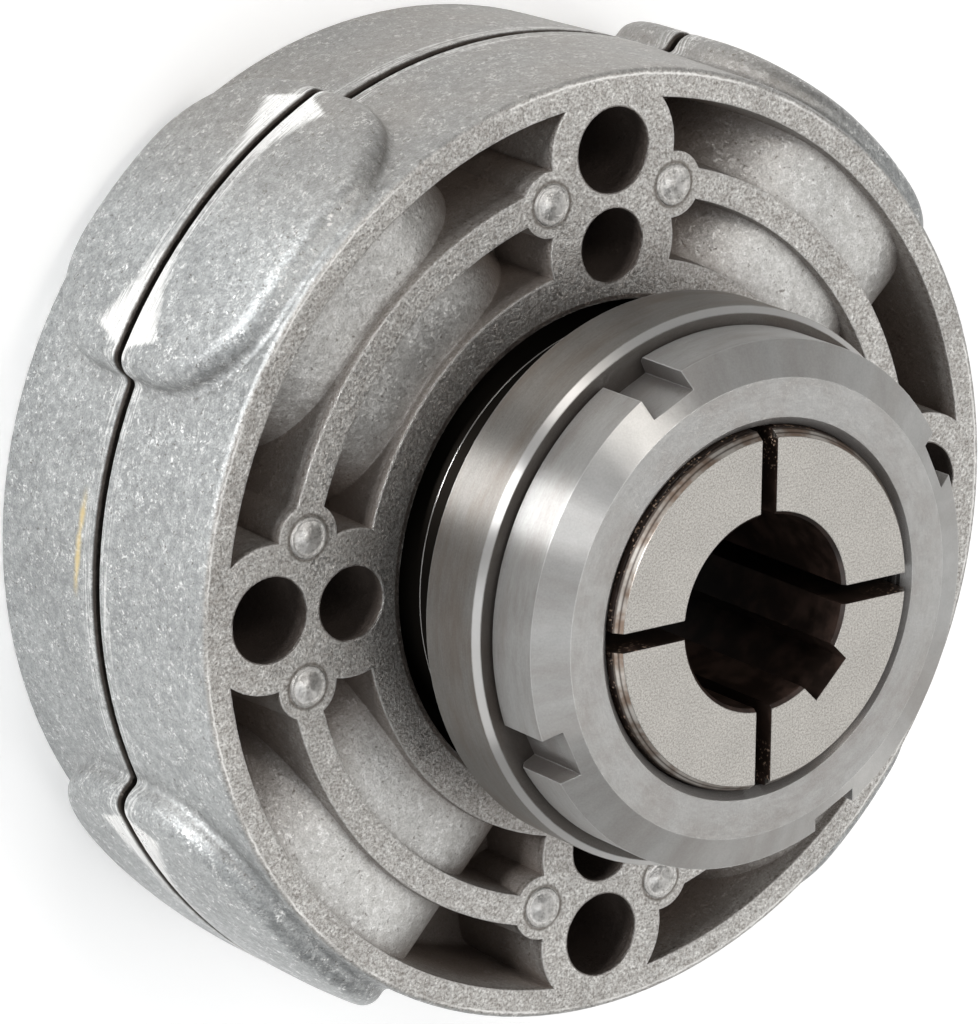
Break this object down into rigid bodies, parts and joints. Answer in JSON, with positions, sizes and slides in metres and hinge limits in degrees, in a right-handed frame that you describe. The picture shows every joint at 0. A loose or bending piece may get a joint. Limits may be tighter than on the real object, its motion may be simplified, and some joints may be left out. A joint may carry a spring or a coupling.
{
  "type": "flexible shaft coupling",
  "caption": "Flexible shaft coupling: round ribbed cast housing with rubber cushions in barrel pockets, and a hub that clamps its shaft with a split taper sleeve and slotted ring nut.",
  "frame": {"origin": "centre of the housing's rear face, on the shaft axis", "axes": "+Z along the shaft axis from the rear face to the nut, +Y to the 12 o'clock pad, +X to the 3 o'clock pad"},
  "size_m": [0.1518, 0.1518, 0.0939],
  "materials": {
    "cast_housing": "as cast, fine sparkling grain, lightly soiled",
    "turned_hub": "turned, satin",
    "turned_nut": "turned, bright satin",
    "matt_sleeve": "matt, fine grained",
    "cushion_rubber": "matt black",
    "dowel_steel": "rolled, plain"
  },
  "bodies": {
    "housing": {"front_housing_half": "cast_housing", "rear_housing_half": "cast_housing", "hollow_dowel_1": "dowel_steel", "hollow_dowel_2": "dowel_steel", "hollow_dowel_3": "dowel_steel", "hollow_dowel_4": "dowel_steel", "cushion_1_left": "cushion_rubber", "cushion_1_right": "cushion_rubber", "cushion_2_left": "cushion_rubber", "cushion_2_right": "cushion_rubber", "cushion_3_left": "cushion_rubber", "cushion_3_right": "cushion_rubber", "cushion_4_left": "cushion_rubber", "cushion_4_right": "cushion_rubber"},
    "hub": {"hub": "turned_hub"},
    "ring_nut": {"ring_nut": "turned_nut"},
    "clamping_sleeve": {"clamping_sleeve": "matt_sleeve"}
  },
  "joints": [
    {"name": "hub_twist", "type": "hinge", "parent": "housing", "child": "hub", "pos_m": [0, 0, 0.0275], "axis": [0, 0, 1], "range_deg": [-4, 4], "stiffness_Nm_per_rad": 3000, "deforming": ["cushion_1_left", "cushion_1_right", "cushion_2_left", "cushion_2_right", "cushion_3_left", "cushion_3_right", "cushion_4_left", "cushion_4_right"]},
    {"name": "nut_turn", "type": "hinge", "parent": "hub", "child": "ring_nut", "pos_m": [0, 0, 0.086], "axis": [0, 0, 1], "range_deg": [0, 360]},
    {"name": "sleeve_slide", "type": "slide", "parent": "hub", "child": "clamping_sleeve", "axis": [0, 0, 1], "range_m": [-0.00201, 0]}
  ],
  "couplings": [
    {"joint": "sleeve_slide", "follows": "nut_turn", "m_per_rad": -0.00031831}
  ]
}
